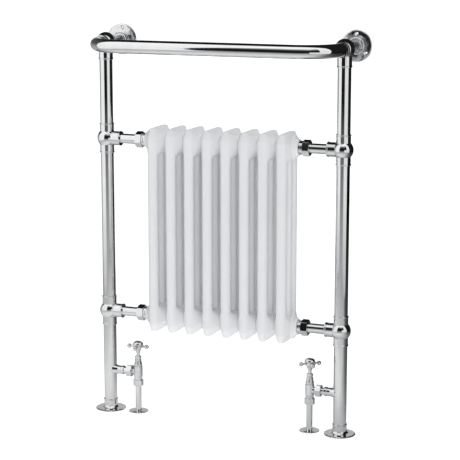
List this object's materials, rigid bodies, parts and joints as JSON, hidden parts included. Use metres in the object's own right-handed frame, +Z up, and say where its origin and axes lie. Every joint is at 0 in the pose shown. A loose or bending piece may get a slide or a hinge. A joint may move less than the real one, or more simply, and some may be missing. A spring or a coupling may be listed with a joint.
{
  "type": "towel radiator with valves",
  "caption": "Floor-standing towel radiator: chromed posts with ball joints carry a forward towel rail and a column radiator insert, fed through crosshead valves beside the posts.",
  "frame": {"origin": "on the floor, below the middle of the whole object", "axes": "+X to the right as seen from the front, +Y from the towel rail into the wall, +Z up"},
  "size_m": [0.676, 0.2299, 0.958],
  "materials": {
    "chrome": "polished chromium plate over brass and steel",
    "white_paint": "gloss white stove enamel on steel",
    "brass": "machined brass"
  },
  "bodies": {
    "radiator": {"left_floor_flange": "chrome", "left_post_lower": "chrome", "left_post_middle": "chrome", "left_post_upper": "chrome", "left_lower_ball_tee": "chrome", "left_upper_ball_tee": "chrome", "left_top_ball": "chrome", "left_wall_bracket": "chrome", "left_lower_connector_tube": "chrome", "left_upper_connector_tube": "chrome", "left_lower_union_nut": "chrome", "left_upper_union_nut": "chrome", "left_lower_bush": "chrome", "left_upper_bush": "chrome", "left_valve_body": "chrome", "left_valve_union_nut": "chrome", "left_valve_tail": "chrome", "left_supply_pipe": "chrome", "left_pipe_nut": "chrome", "left_pipe_rose": "chrome", "left_valve_bonnet": "chrome", "left_gland_nut": "chrome", "right_floor_flange": "chrome", "right_post_lower": "chrome", "right_post_middle": "chrome", "right_post_upper": "chrome", "right_lower_ball_tee": "chrome", "right_upper_ball_tee": "chrome", "right_top_ball": "chrome", "right_wall_bracket": "chrome", "right_lower_connector_tube": "chrome", "right_upper_connector_tube": "chrome", "right_lower_union_nut": "chrome", "right_upper_union_nut": "chrome", "right_lower_bush": "chrome", "right_upper_bush": "chrome", "right_valve_body": "chrome", "right_valve_union_nut": "chrome", "right_valve_tail": "chrome", "right_supply_pipe": "chrome", "right_pipe_nut": "chrome", "right_pipe_rose": "chrome", "right_valve_bonnet": "chrome", "right_gland_nut": "chrome", "towel_rail": "chrome", "radiator_section_1": "white_paint", "radiator_section_2": "white_paint", "radiator_section_3": "white_paint", "radiator_section_4": "white_paint", "radiator_section_5": "white_paint", "radiator_section_6": "white_paint", "radiator_section_7": "white_paint", "radiator_section_8": "white_paint"},
    "left_valve_clack": {"left_clack": "brass"},
    "left_valve_handle": {"left_handle": "chrome", "left_handle_cap": "chrome"},
    "right_valve_clack": {"right_clack": "brass"},
    "right_valve_handle": {"right_handle": "chrome", "right_handle_cap": "chrome"},
    "air_vent": {"air_vent_screw": "brass"}
  },
  "joints": [
    {"name": "left_valve_rise", "type": "slide", "parent": "radiator", "child": "left_valve_clack", "axis": [0, 0, 1], "range_m": [0, 0.00503]},
    {"name": "left_valve_turn", "type": "hinge", "parent": "left_valve_clack", "child": "left_valve_handle", "pos_m": [-0.2242, 0.01695, 0.167], "axis": [0, 0, 1], "range_deg": [0, 900]},
    {"name": "right_valve_rise", "type": "slide", "parent": "radiator", "child": "right_valve_clack", "axis": [0, 0, 1], "range_m": [0, 0.00503]},
    {"name": "right_valve_turn", "type": "hinge", "parent": "right_valve_clack", "child": "right_valve_handle", "pos_m": [0.2242, 0.01695, 0.167], "axis": [0, 0, 1], "range_deg": [0, 900]},
    {"name": "air_vent_turn", "type": "hinge", "parent": "radiator", "child": "air_vent", "pos_m": [-0.3, 0.04495, 0.687], "axis": [0, 1, 0], "range_deg": [-540, 0]}
  ],
  "couplings": [
    {"joint": "left_valve_rise", "follows": "left_valve_turn", "m_per_rad": 0.00031831},
    {"joint": "right_valve_rise", "follows": "right_valve_turn", "m_per_rad": 0.00031831}
  ]
}
